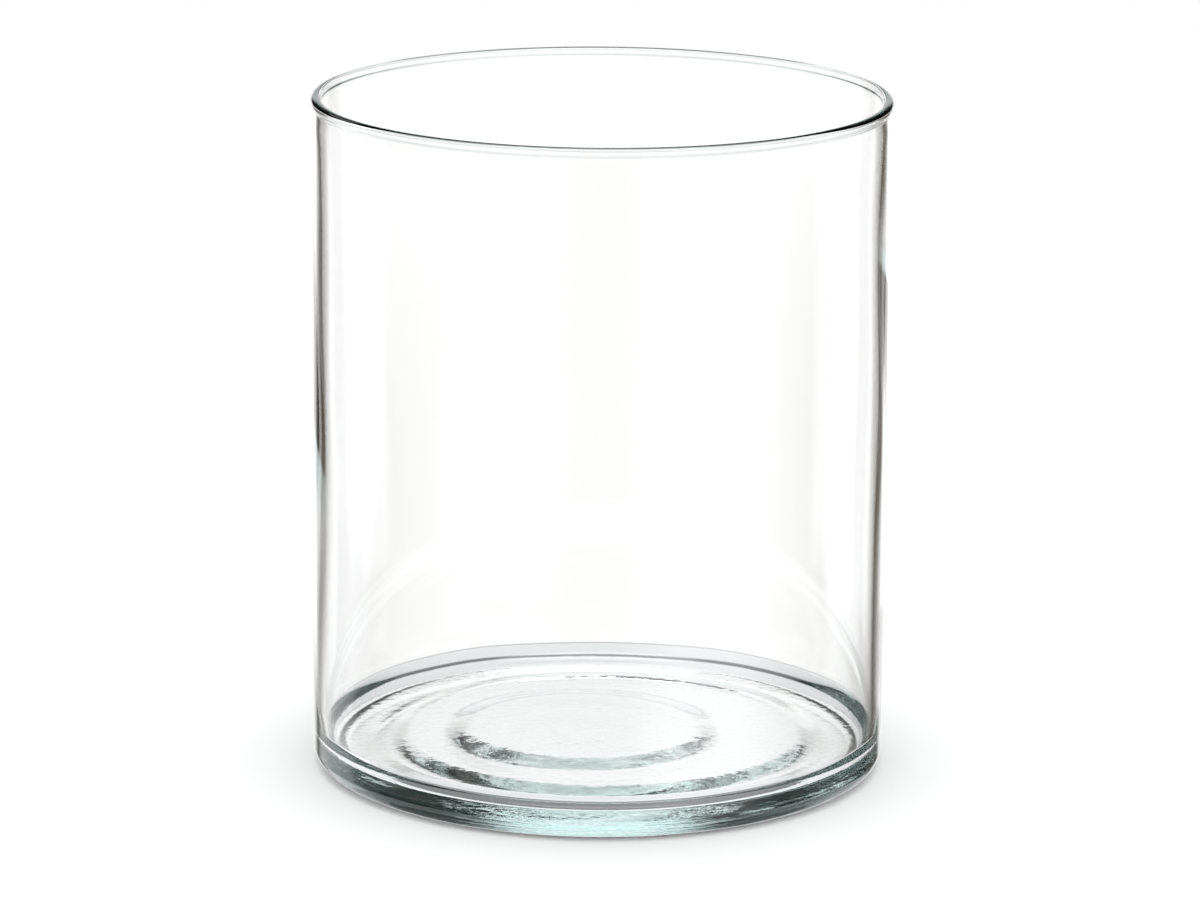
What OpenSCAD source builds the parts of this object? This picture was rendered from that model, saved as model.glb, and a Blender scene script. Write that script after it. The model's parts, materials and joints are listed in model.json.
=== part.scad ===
// Clear glass cylinder vase, one continuous piece of glass: a straight inside wall, an outside
// that thickens slightly towards the base, a rounded rim bead, and a thick base. The inside floor
// rises towards the middle in two shallow terraces, and the under side is hollowed slightly, so
// that the vase stands on a flat ring inside its rounded heel.
// The origin is at the middle of the resting face, and +Z points out of the mouth.

/* [Body] */
// Height from the resting face to the top of the rim
vase_h = 150; // [90:1:300]
// Diameter of the outside at the base and around the rim bead
vase_d = 127; // [120:1:200]

/* [Wall] */
// Thickness of the wall just above the base, and of the rim bead
wall_t = 2.3; // [2:0.1:4]
// How much thinner the wall is just below the rim bead
wall_taper = 0.5; // [0.1:0.1:0.8]

/* [Base] */
// Height of the inside floor above the resting face, beside its corner
floor_h = 5; // [4:0.1:12]
// Width of the rounded corner between the inside floor and the wall
corner_w = 6; // [3:0.5:8]
// Height of that corner
corner_h = 5; // [2:0.5:10]
// Diameter of the outer terrace, at the middle of its slope
outer_terrace_d = 93; // [76:1:98]
// Height of the outer terrace above the floor beside the corner
outer_terrace_h = 1; // [0.2:0.1:1.5]
// Diameter of the inner terrace, at the middle of its slope
inner_terrace_d = 57; // [24:1:74]
// Height of the inner terrace above the outer one
inner_terrace_h = 0.9; // [0.2:0.1:1.5]
// Diameter of the hollow under the base, at the middle of its slope
hollow_d = 97; // [60:1:104]
// Height of the hollow above the resting face
hollow_h = 0.6; // [0.2:0.1:1.5]
// Width of the slope at the edge of each terrace and of the hollow
slope_w = 8; // [4:1:9]
// Radius of the rounded heel around the outside of the base
heel_r = 4; // [1:0.5:7]

/* [Hidden] */

ARC_STEPS = 12;

outer_r = vase_d / 2;
inner_r = outer_r - wall_t;
neck_r = outer_r - wall_taper;
bead_r = wall_t / 2;
bead_x = inner_r + bead_r;
bead_z = vase_h - bead_r;
bead_start = -acos((neck_r - bead_x) / bead_r);
half_slope = slope_w / 2;

// Points of an elliptical arc about (x, z), from one angle to another
function arc(x, z, across, up, from, to) = [
    for (i = [0 : ARC_STEPS])
        let (a = from + (to - from) * i / ARC_STEPS)
        [x + across * cos(a), z + up * sin(a)]
];

// The under side: the hollow, then the slope down to the standing ring
function under_side() = [
    [0, hollow_h],
    [hollow_d / 2 - half_slope, hollow_h],
    [hollow_d / 2 + half_slope, 0]
];

// The outside: the heel, then the wall up to the rim bead, and over the bead to the inside
function heel() = arc(outer_r - heel_r, heel_r, heel_r, heel_r, -90, 0);
function rim() = arc(bead_x, bead_z, bead_r, bead_r, bead_start, 180);

// One slope of the inside floor, going inwards and up
function slope(diameter, low, high) = [
    [diameter / 2 + half_slope, low],
    [diameter / 2 - half_slope, high]
];

// The inside: down the wall, round the corner and in over the two terraces
function inside() =
    let (outer_z = floor_h + outer_terrace_h, inner_z = outer_z + inner_terrace_h)
    concat(
        arc(inner_r - corner_w, floor_h + corner_h, corner_w, corner_h, 0, -90),
        slope(outer_terrace_d, floor_h, outer_z),
        slope(inner_terrace_d, outer_z, inner_z),
        [[0, inner_z]]
    );

module vase() {
    color([0.86, 0.93, 0.92, 0.35])
        rotate_extrude($fn = 160)
            polygon(concat(under_side(), heel(), rim(), inside()));
}

vase();
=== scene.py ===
"""Looks for a clear glass cylinder vase: one uneven, fire-polished piece of soda-lime glass."""
import json
import math

import bpy
import numpy as np
from mathutils import Matrix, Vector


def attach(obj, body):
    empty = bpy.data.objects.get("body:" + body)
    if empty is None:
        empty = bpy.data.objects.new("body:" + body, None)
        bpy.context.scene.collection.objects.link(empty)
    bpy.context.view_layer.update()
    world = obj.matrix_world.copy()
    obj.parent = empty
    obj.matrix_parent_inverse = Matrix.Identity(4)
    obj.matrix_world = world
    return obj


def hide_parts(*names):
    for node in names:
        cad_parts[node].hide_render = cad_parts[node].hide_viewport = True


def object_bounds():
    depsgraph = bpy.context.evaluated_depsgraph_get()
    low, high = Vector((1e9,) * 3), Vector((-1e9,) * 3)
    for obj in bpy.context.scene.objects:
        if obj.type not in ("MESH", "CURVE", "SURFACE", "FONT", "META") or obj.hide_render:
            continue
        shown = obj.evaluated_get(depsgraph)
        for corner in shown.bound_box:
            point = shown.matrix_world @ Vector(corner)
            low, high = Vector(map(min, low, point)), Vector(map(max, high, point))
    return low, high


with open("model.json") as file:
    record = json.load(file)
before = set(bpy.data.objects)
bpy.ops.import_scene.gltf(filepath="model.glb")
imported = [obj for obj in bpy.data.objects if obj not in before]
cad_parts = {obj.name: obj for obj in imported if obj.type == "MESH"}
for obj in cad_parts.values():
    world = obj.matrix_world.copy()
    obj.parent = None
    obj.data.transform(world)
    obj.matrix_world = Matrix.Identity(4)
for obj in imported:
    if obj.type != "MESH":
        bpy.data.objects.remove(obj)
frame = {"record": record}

MM = 0.001
cad_lo, cad_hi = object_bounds()
OUTER_R = (cad_hi.x - cad_lo.x) / 2 / MM       # the glass is worked out in millimetres
HEIGHT = (cad_hi.z - cad_lo.z) / MM
inside_mount = next(m for m in frame["record"]["mounts"] if m["name"] == "inside")
INNER_R = inside_mount["dims"]["r_mm"]

# ---------------------------------------------------------------- the glass
WALL_TAPER = 0.45         # how much thinner the wall is below the rim than at the base, before OUTER_INSET
BEAD_R = (OUTER_R - INNER_R) / 2
HEEL_R = 4.0
CORNER_W, CORNER_H = 6.0, 5.0      # the soft corner between the inside wall and the floor
FLOOR_H = 5.0
# Each step down in the inside floor: radius, width of its slope, height, shift to the left
TERRACES = (
    (14.0, 6.0, 0.12, 5.0),
    (28.5, 8.0, 0.9, 3.5),
    (46.5, 8.0, 1.05, -1.0),
)
RECESS = (48.5, 8.0, 0.6)   # the shallow hollow under the base: radius, width of its slope, height
BEAD_START = -50          # angle at which the rim bead leaves the outside wall, in degrees
BEAD_GAP = 0.6            # how far below the bead the last point of the plain wall lies
HEEL_GAP = 0.3            # flat ring left between the last point of the under side and the heel
MIDDLE_R = 0.5            # radius at which the rings stop and a fan closes the middle

# How many points each stretch of the section has, and how many go round the vase
UNDER_POINTS = 62
HEEL_POINTS = 16
OUTSIDE_POINTS = 24
BEAD_OUTER_POINTS = 14
BEAD_INNER_POINTS = 9
INSIDE_POINTS = 32
CORNER_POINTS = 18
FLOOR_POINTS = 72
AROUND = 400

# Unevenness of the walls. Each wave is (turns, mm of height a wave, phase, size)
INNER_WAVES = ((3, 210, 0.4, 0.04), (5, 90, 2.1, 0.03), (9, 65, 1.0, 0.012), (14, 47, 4.0, 0.006))
OUTER_WAVES = ((2, 300, 1.0, 0.03), (7, 90, 0.3, 0.008), (11, 50, 2.0, 0.003))
OUTER_INSET = 0.05        # keeps the outer waves inside the vase's diameter
LEFT = math.pi            # the side where the wall is thickest
THICK_SPREAD = 1.5        # the higher, the narrower the thick side
THIN_TOP = 0.05           # how much thinner the left side is near the rim
THICK_LOW = 0.3           # how much thickness it gains on the way down
LEAN_TOP, LEAN_SPAN = 150, 140     # height where that gain starts, and the height that it takes
RIM_TRUE, RIM_BLEND = 0.5, 4       # the rim stays true, and unevenness grows over this height below it
HEEL_BLEND = 30           # and over this height above the heel, on the outside

# The slow swell of the inside floor. The outer terrace is RISE higher on one side, and lower opposite
SWELL = 0.05
SWELL_X, SWELL_X_PHASE = 17, 0.4
SWELL_Y, SWELL_Y_PHASE = 21, 0.3
RISE = 0.2
RISE_TURN = 0.65
RISE_SLOPE = (TERRACES[-1][0], 7, 1)    # radius, width of its slope, height
RISE_FROM, RISE_SPAN = 20, 18      # radius where it starts to show, and the width that it takes

GLASS_IOR = 1.52
GLASS_TINT = (0.58, 0.83, 0.82, 1)
TINT_DENSITY = 6.0
STIPPLE_SCALE = 420
STIPPLE_DETAIL = 2
STIPPLE_DEPTH = 0.0003
STIPPLE_FADE = (0.0025, 0.004, 1, 0)        # full at the first height, in metres, gone at the second
STIPPLE_RING = (0.051, 0.056, 0.15, 0.30)   # two radii, in metres, and the strength at each


def smooth(t):
    """Eases from 0 to 1."""
    t = np.clip(t, 0, 1)
    return t * t * (3 - 2 * t)


def arc(x, z, r, start, stop, count):
    angle = np.radians(np.linspace(start, stop, count))
    return np.column_stack((x + r * np.cos(angle), z + r * np.sin(angle)))


def drop(r, edge, width, height):
    """A soft slope down, going outwards past a radius."""
    return height * smooth((edge + width / 2 - r) / width)


def under_side():
    """From near the middle out to the ring that the vase stands on."""
    r = np.linspace(MIDDLE_R, OUTER_R - HEEL_R - HEEL_GAP, UNDER_POINTS)
    return np.column_stack((r, drop(r, *RECESS)))


def outside_wall():
    z = np.linspace(HEEL_R, HEIGHT - 2 * BEAD_R - BEAD_GAP, OUTSIDE_POINTS)[1:]
    return np.column_stack((OUTER_R - WALL_TAPER * (z / HEIGHT), z))


def inside_corner():
    turn = np.radians(np.linspace(0, 90, CORNER_POINTS))
    across = INNER_R - CORNER_W * (1 - np.cos(turn))
    return np.column_stack((across, FLOOR_H + CORNER_H * (1 - np.sin(turn))))


def inside_wall():
    z = np.linspace(HEIGHT - BEAD_R, FLOOR_H + CORNER_H, INSIDE_POINTS)[1:-1]
    return np.column_stack((np.full_like(z, INNER_R), z))


def floor_top():
    r = np.linspace(INNER_R - CORNER_W, MIDDLE_R, FLOOR_POINTS)[1:]
    return np.column_stack((r, np.full_like(r, FLOOR_H)))


def profile():
    """The glass in section, from under the middle, up the outside and back down the inside."""
    outside = [
        under_side(),
        arc(OUTER_R - HEEL_R, HEEL_R, HEEL_R, -90, 0, HEEL_POINTS),
        outside_wall(),
        arc(INNER_R + BEAD_R, HEIGHT - BEAD_R, BEAD_R, BEAD_START, 90, BEAD_OUTER_POINTS),
    ]
    inside = [
        arc(INNER_R + BEAD_R, HEIGHT - BEAD_R, BEAD_R, 90, 180, BEAD_INNER_POINTS)[1:],
        inside_wall(),
        inside_corner(),
        floor_top(),
    ]
    outside = np.concatenate(outside)
    inside = np.concatenate(inside)
    return np.concatenate((outside, inside)), len(outside)


def ripple(angle, z, rows):
    """A sum of slow waves round and up the glass."""
    return sum(size * np.sin(turns * angle + 2 * math.pi * z / pitch + phase)
               for turns, pitch, phase, size in rows)


def inner_unevenness(angle, z):
    """How far the inside wall strays from a true cylinder: the glass is thicker low down on the left."""
    low = smooth((LEAN_TOP - z) / LEAN_SPAN)
    lean = (0.5 + 0.5 * np.cos(angle - LEFT)) ** THICK_SPREAD
    thick_side = (THIN_TOP - THICK_LOW * low) * lean
    return thick_side + ripple(angle, z, INNER_WAVES)


def outer_unevenness(angle, z):
    return ripple(angle, z, OUTER_WAVES) - OUTER_INSET


def floor_relief(angle, r):
    """The terraces of the inside floor, none of them quite centred, and a slow swell."""
    x = r * np.cos(angle)
    y = r * np.sin(angle)
    swell = SWELL * np.cos(x / SWELL_X + SWELL_X_PHASE) * np.cos(y / SWELL_Y - SWELL_Y_PHASE)
    rings = sum(drop(np.hypot(x + shift, y), edge, width, height) for edge, width, height, shift in TERRACES)
    to_one_side = RISE * np.cos(angle + RISE_TURN)
    rings = rings + to_one_side * drop(r, *RISE_SLOPE) * smooth((r - RISE_FROM) / RISE_SPAN)
    return rings + swell


def glass_mesh():
    points, rim_at = profile()
    angle = np.arange(AROUND) * 2 * math.pi / AROUND
    r = np.repeat(points[:, :1], AROUND, axis=1)
    z = np.repeat(points[:, 1:], AROUND, axis=1)
    turn = np.repeat(angle[None, :], len(points), axis=0)
    is_inside = (np.arange(len(points)) >= rim_at)[:, None]
    below_rim = smooth((HEIGHT - RIM_TRUE - z) / RIM_BLEND)
    shift_in = inner_unevenness(turn, z) * below_rim * r / INNER_R
    shift_out = outer_unevenness(turn, z) * below_rim * smooth((z - HEEL_R) / HEEL_BLEND)
    in_corner = smooth((FLOOR_H + CORNER_H - z) / CORNER_H)
    lift = np.where(is_inside, in_corner * floor_relief(turn, r), 0)
    r = r + np.where(is_inside, shift_in, shift_out)
    z = z + lift
    ring = np.stack((r * np.cos(turn), r * np.sin(turn), z), axis=-1).reshape(-1, 3)
    under_middle = (0, 0, points[0, 1])
    floor_middle = (0, 0, float(z[-1].mean()))
    vertices = np.concatenate((ring, [under_middle, floor_middle])) * MM
    faces = []
    for k in range(len(points) - 1):
        for j in range(AROUND):
            j2 = (j + 1) % AROUND
            near = k * AROUND
            far = near + AROUND
            faces.append((near + j, near + j2, far + j2, far + j))
    last = (len(points) - 1) * AROUND
    for j in range(AROUND):
        j2 = (j + 1) % AROUND
        faces.append((len(ring), j2, j))
        faces.append((len(ring) + 1, last + j, last + j2))
    mesh = bpy.data.meshes.new("vase_glass")
    mesh.from_pydata(vertices.tolist(), [], faces)
    mesh.shade_smooth()
    return mesh


def foot_texture(tree):
    """The fine stipple left by the mould under the base, strongest on the ring that the vase stands on."""
    def node(kind, **settings):
        made = tree.nodes.new(kind)
        for name, value in settings.items():
            setattr(made, name, value)
        return made

    place = node("ShaderNodeTexCoord").outputs["Object"]
    split = node("ShaderNodeSeparateXYZ")
    tree.links.new(place, split.inputs[0])
    flat = node("ShaderNodeVectorMath", operation="MULTIPLY")
    flat.inputs[1].default_value = (1, 1, 0)
    tree.links.new(place, flat.inputs[0])
    radius = node("ShaderNodeVectorMath", operation="LENGTH")
    tree.links.new(flat.outputs[0], radius.inputs[0])
    grain = node("ShaderNodeTexNoise")
    grain.inputs["Scale"].default_value = STIPPLE_SCALE
    grain.inputs["Detail"].default_value = STIPPLE_DETAIL
    tree.links.new(place, grain.inputs["Vector"])
    low = node("ShaderNodeMapRange")
    tree.links.new(split.outputs["Z"], low.inputs["Value"])
    ring = node("ShaderNodeMapRange", interpolation_type="SMOOTHSTEP")
    tree.links.new(radius.outputs["Value"], ring.inputs["Value"])
    for ramp, numbers in ((low, STIPPLE_FADE), (ring, STIPPLE_RING)):
        for name, number in zip(("From Min", "From Max", "To Min", "To Max"), numbers):
            ramp.inputs[name].default_value = number
    where = node("ShaderNodeMath", operation="MULTIPLY")
    tree.links.new(low.outputs["Result"], where.inputs[0])
    tree.links.new(ring.outputs["Result"], where.inputs[1])
    bump = node("ShaderNodeBump")
    bump.inputs["Distance"].default_value = STIPPLE_DEPTH
    tree.links.new(where.outputs[0], bump.inputs["Strength"])
    tree.links.new(grain.outputs["Fac"], bump.inputs["Height"])
    return bump.outputs["Normal"]


def clear_glass():
    """Clear glass that turns green-blue only over a long path through it."""
    material = bpy.data.materials.new("clear_glass")
    material.use_nodes = True
    tree = material.node_tree
    shader = tree.nodes["Principled BSDF"]
    shader.inputs["Base Color"].default_value = (1, 1, 1, 1)
    shader.inputs["Roughness"].default_value = 0.0
    shader.inputs["IOR"].default_value = GLASS_IOR
    shader.inputs["Transmission Weight"].default_value = 1.0
    tree.links.new(foot_texture(tree), shader.inputs["Normal"])
    absorb = tree.nodes.new("ShaderNodeVolumeAbsorption")
    absorb.inputs["Color"].default_value = GLASS_TINT
    absorb.inputs["Density"].default_value = TINT_DENSITY
    tree.links.new(absorb.outputs["Volume"], tree.nodes["Material Output"].inputs["Volume"])
    return material


glass = bpy.data.objects.new("vase_glass", glass_mesh())
bpy.context.scene.collection.objects.link(glass)
glass.data.materials.append(clear_glass())
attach(glass, "root")
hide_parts("vase")


# ---------------------------------------------------------------- floor, light and camera
STUDIO_R = 0.6
STUDIO_DROP = 0.0002      # the studio floor lies just under the resting face
STUDIO_POINTS = 128
FLOOR_TONE = 0.9
FLOOR_ROUGHNESS = 0.9
CAP_EDGE = (19, 25)       # the overhead light fades between these angles from straight up
CAP_LEVEL = 3.0
NADIR_EDGE = (-47, -42)   # the light from below fades between these elevations
NADIR_LEVEL = 0.25
FLOOR_LIGHT = 1.36        # the even light that falls on the floor
BACKDROP_LEVEL = 1.0
SENSOR_WIDTH = 36
LENS = 164.14
CLIP = (0.01, 20)
CAMERA_PLACE = (0.0001, -1.175, 0.3602)
CAMERA_TILT, CAMERA_ROLL = 13.86, 0.4477    # degrees down from level, and round the line of sight
BOUNCES = 48              # fewer leave black segments in the rim and the base


def floor():
    mesh = bpy.data.meshes.new("studio_floor")
    turn = np.arange(STUDIO_POINTS) * 2 * math.pi / STUDIO_POINTS
    edge = [(STUDIO_R * math.cos(a), STUDIO_R * math.sin(a), -STUDIO_DROP) for a in turn]
    mesh.from_pydata(edge, [], [tuple(range(len(edge)))])
    piece = bpy.data.objects.new("studio_floor", mesh)
    bpy.context.scene.collection.objects.link(piece)
    material = bpy.data.materials.new("white_floor")
    material.use_nodes = True
    shader = material.node_tree.nodes["Principled BSDF"]
    shader.inputs["Base Color"].default_value = (FLOOR_TONE, FLOOR_TONE, FLOOR_TONE, 1)
    shader.inputs["Roughness"].default_value = FLOOR_ROUGHNESS
    shader.inputs["Specular IOR Level"].default_value = 0.0
    mesh.materials.append(material)
    piece.visible_transmission = False
    piece.visible_glossy = False


class Sky:
    """Builds the studio's surroundings out of world nodes."""

    def __init__(self):
        world = bpy.data.worlds.new("studio")
        bpy.context.scene.world = world
        world.use_nodes = True
        self.tree = world.node_tree
        self.tree.nodes.clear()
        direction = self.add("ShaderNodeTexCoord").outputs["Generated"]
        split = self.add("ShaderNodeSeparateXYZ")
        self.link(direction, split.inputs[0])
        around = self.math("ARCTAN2", split.outputs["Y"], split.outputs["X"])
        self.azimuth = self.math("MULTIPLY", around, 180 / math.pi)
        self.elevation = self.math("MULTIPLY", self.math("ARCSINE", split.outputs["Z"]), 180 / math.pi)

    def add(self, kind):
        return self.tree.nodes.new(kind)

    def link(self, source, target):
        self.tree.links.new(source, target)

    def math(self, operation, *values):
        node = self.add("ShaderNodeMath")
        node.operation = operation
        for socket, value in zip(node.inputs, values):
            if isinstance(value, (int, float)):
                socket.default_value = value
            else:
                self.link(value, socket)
        return node.outputs[0]

    def ramp(self, value, start, stop, low, high):
        node = self.add("ShaderNodeMapRange")
        node.interpolation_type = "SMOOTHSTEP"
        self.link(value, node.inputs["Value"])
        for name, number in zip(("From Min", "From Max", "To Min", "To Max"), (start, stop, low, high)):
            node.inputs[name].default_value = number
        return node.outputs["Result"]

    def panel(self, centre, half, soft, low, high, soft_up, level):
        """A soft-edged bright panel, in degrees of azimuth and elevation."""
        turned = self.math("SUBTRACT", self.azimuth, centre)
        off = self.math("ABSOLUTE", self.math("WRAP", turned, 180, -180))
        across = self.ramp(off, half - soft, half + soft, 1, 0)
        above = self.ramp(self.elevation, low - soft_up, low + soft_up, 0, 1)
        below = self.ramp(self.elevation, high - soft_up, high + soft_up, 1, 0)
        shape = self.math("MULTIPLY", across, self.math("MULTIPLY", above, below))
        return self.math("MULTIPLY", shape, level)

    def emit(self, strength, colour):
        node = self.add("ShaderNodeBackground")
        node.inputs["Color"].default_value = (*colour, 1)
        if isinstance(strength, (int, float)):
            node.inputs["Strength"].default_value = strength
        else:
            self.link(strength, node.inputs["Strength"])
        return node.outputs[0]

    def sum(self, first, second):
        node = self.add("ShaderNodeAddShader")
        self.link(first, node.inputs[0])
        self.link(second, node.inputs[1])
        return node.outputs[0]

    def choose(self, factor, first, second):
        node = self.add("ShaderNodeMixShader")
        self.link(factor, node.inputs[0])
        self.link(first, node.inputs[1])
        self.link(second, node.inputs[2])
        return node.outputs[0]


WHITE = (0.985, 1, 1.005)
BROWN = (1, 0.8, 0.62)
# In degrees: azimuth, half width, softness, lowest, highest, softness; then level and colour
PANELS = (
    (90, 20.5, 4, -23, 0.5, 1.5, 1.07, WHITE),
    (90, 15, 4, 0.5, 12, 1.5, 0.95, WHITE),
    (90, 10, 4, 12, 34, 1.5, 0.75, WHITE),
    (90, 40, 4, -24, 0, 2, 0.10, BROWN),
    (33, 18, 4, -15.8, -1, 0.8, 1.0, WHITE),
    (147, 18, 4, -15.8, -1, 0.8, 1.0, WHITE),
    (0, 200, 1, -44, -23.8, 2, 0.95, WHITE),
    (135, 18, 5, -33, -16, 2, 1.1, WHITE),
    (135, 18, 5, 21, 33, 2, 0.7, WHITE),
    (180, 20, 5, -12, 5, 2, 1.12, WHITE),
    (315, 25, 16, -24, 5, 2, 1.12, WHITE),
)
DARK = (0.02, 0.022, 0.02)


def studio_light():
    """White to the camera, even light for the floor, and bright panels in the dark for the glass."""
    sky = Sky()
    light = sky.emit(1.0, DARK)
    for *shape, colour in PANELS:
        light = sky.sum(light, sky.emit(sky.panel(*shape), colour))
    from_top = sky.math("SUBTRACT", 90, sky.elevation)
    light = sky.sum(light, sky.emit(sky.ramp(from_top, *CAP_EDGE, CAP_LEVEL, 0), WHITE))
    light = sky.sum(light, sky.emit(sky.ramp(sky.elevation, *NADIR_EDGE, NADIR_LEVEL, 0), WHITE))
    path = sky.add("ShaderNodeLightPath")
    for_floor = sky.emit(FLOOR_LIGHT, (1, 1, 1))
    backdrop = sky.emit(BACKDROP_LEVEL, (1, 1, 1))
    lit = sky.choose(path.outputs["Is Diffuse Ray"], light, for_floor)
    seen = sky.choose(path.outputs["Is Camera Ray"], lit, backdrop)
    sky.link(seen, sky.add("ShaderNodeOutputWorld").inputs["Surface"])


def camera():
    data = bpy.data.cameras.new("camera")
    piece = bpy.data.objects.new("camera", data)
    bpy.context.scene.collection.objects.link(piece)
    data.sensor_width = SENSOR_WIDTH
    data.lens = LENS
    data.clip_start, data.clip_end = CLIP
    tilt = math.radians(CAMERA_TILT)
    roll = math.radians(CAMERA_ROLL)
    aim = Matrix.Rotation(math.radians(90) - tilt, 4, "X") @ Matrix.Rotation(roll, 4, "Z")
    piece.matrix_world = Matrix.Translation(CAMERA_PLACE) @ aim
    bpy.context.scene.camera = piece


def render_look():
    scene = bpy.context.scene
    scene.view_settings.view_transform = "Standard"
    scene.cycles.max_bounces = BOUNCES
    scene.cycles.transmission_bounces = BOUNCES
    scene.cycles.glossy_bounces = BOUNCES


camera()
floor()
studio_light()
render_look()
